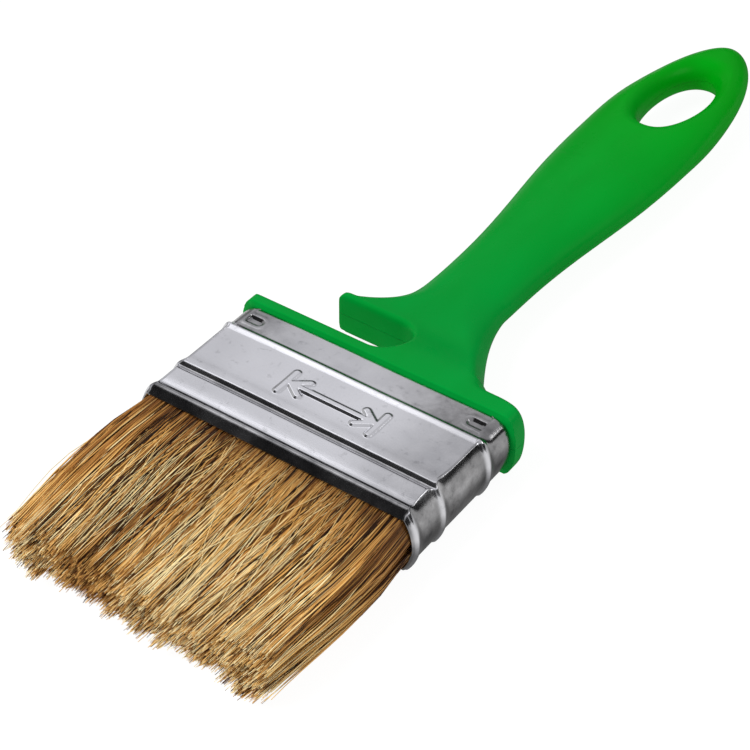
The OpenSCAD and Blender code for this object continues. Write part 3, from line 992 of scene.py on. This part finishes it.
def strand_mesh(name, paths, root_r, tone):
    """One mesh of thin tapered tubes. Each strand has its own strip of the UV square."""
    count, stations = paths.shape[:2]
    forward = np.gradient(paths, axis=1)
    forward /= np.linalg.norm(forward, axis=2, keepdims=True)
    across = np.cross(forward, np.array([0.0, 0.0, 1.0]))
    across /= np.linalg.norm(across, axis=2, keepdims=True)
    upward = np.cross(across, forward)
    t = np.linspace(0, 1, stations)
    taper = 1 - TIP_TAPER * t**2.5
    turn = 2 * math.pi * (np.arange(STRAND_SIDES) / STRAND_SIDES)[None, :]
    turn = turn + np.outer(np.arange(count), [STRAND_TWIST])
    around = (np.cos(turn)[:, None, :, None] * across[:, :, None, :]
              + np.sin(turn)[:, None, :, None] * upward[:, :, None, :])
    points = paths[:, :, None, :] + around * (root_r[:, None] * taper)[:, :, None, None]
    number = np.arange(count * stations * STRAND_SIDES).reshape(count, stations, STRAND_SIDES)
    nxt = np.roll(number, -1, 2)
    sides = np.stack([number[:, :-1], number[:, 1:], nxt[:, 1:], nxt[:, :-1]], -1).reshape(-1, 4)
    split = np.concatenate([sides[:, [0, 1, 2]], sides[:, [0, 2, 3]]])
    caps = np.concatenate([number[:, 0], number[:, -1, ::-1]])
    faces = np.concatenate([split, caps])
    piece = make_mesh(name, points.reshape(-1, 3), faces)
    mesh = piece.data
    along = np.broadcast_to(t[None, :, None], number.shape).astype(np.float32)
    tones = np.broadcast_to(tone[:, None, None], number.shape).astype(np.float32)
    mesh.attributes.new("along", "FLOAT", "POINT").data.foreach_set("value", along.ravel())
    mesh.attributes.new("tone", "FLOAT", "POINT").data.foreach_set("value", tones.ravel())
    columns = math.ceil(math.sqrt(count * 3))
    rows = math.ceil(count / columns)
    strand = np.arange(count)
    u_in_strip = 0.2 + 0.6 * np.arange(STRAND_SIDES)[None, None, :] / 2
    u = ((strand % columns)[:, None, None] + u_in_strip) / columns
    v = ((strand // columns)[:, None, None] + 0.04 + 0.92 * along) / rows
    u = np.broadcast_to(u, number.shape)
    corner = np.empty(len(mesh.loops), np.int32)
    mesh.loops.foreach_get("vertex_index", corner)
    uv = np.stack([u.ravel()[corner], v.ravel()[corner]], -1)
    mesh.uv_layers.new(name="OFBake").data.foreach_set("uv", uv.astype(np.float32).ravel())
    return piece


def bend_with_tuft(piece):
    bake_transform(piece)


def strand_tones(rng, x, z):
    """Tones from dark to blond in clumps, darker left of the middle of the pack, as on this brush."""
    count = len(x)
    tone = np.clip(rng.beta(1.5, 1.5, count), 0, 1)
    shade = 0.5 + 0.5 * np.sin(x * 1.9 + 2.2 * np.sin(x * 0.47) + z * 1.3)
    tone = tone * (0.48 + 0.60 * shade)
    for left, half_w, loss in DARK_PATCHES:
        tone = tone * (1 - loss * np.exp(-(((x + left) / half_w) ** 2)))
    tone[rng.uniform(0, 1, count) < DARK_SHARE] *= DARK_TONE
    return np.clip(tone, 0, 1)


def make_bristles():
    hair = bristle_hair()
    rng = np.random.default_rng(60)
    for face, side in ((1, "front"), (-1, "back")):
        edges = np.linspace(-PACK_HALF_X, PACK_HALF_X, LOCKS_PER_PACK + 1)
        for lock in range(LOCKS_PER_PACK):
            paths = strand_paths(rng, STRANDS_PER_LOCK, edges[lock], edges[lock + 1], face)
            tone = strand_tones(rng, paths[:, 4, 0], paths[:, 4, 2])
            radius = rng.uniform(*STRAND_R, STRANDS_PER_LOCK)
            piece = strand_mesh(f"{side}_bristle_lock_{lock + 1}", paths, radius, tone)
            piece.data.materials.append(hair)
            bend_with_tuft(piece)
            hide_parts(f"{side}_bristles", f"{side}_roots")
    paths = stray_paths(rng, STRAYS)
    tone = rng.uniform(0.3, 1.0, STRAYS) ** 0.8
    tone[rng.uniform(0, 1, STRAYS) < STRAY_DARK_SHARE] = STRAY_DARK_TONE
    piece = strand_mesh("stray_bristles", paths, rng.uniform(*STRAY_R, STRAYS), tone)
    piece.data.materials.append(hair)
    bend_with_tuft(piece)


# ---------------------------------------------------------------- hidden CAD pieces


def dress_hidden_nodes():
    for node, material in (("setting_resin", amber_resin()), ("spacer_plug", raw_wood())):
        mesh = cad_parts[node].data
        mesh.materials.clear()
        mesh.materials.append(material)


bpy.context.scene.view_settings.view_transform = "Standard"
make_camera()
make_studio()
make_handle()
make_ferrule()
make_bristles()
dress_hidden_nodes()
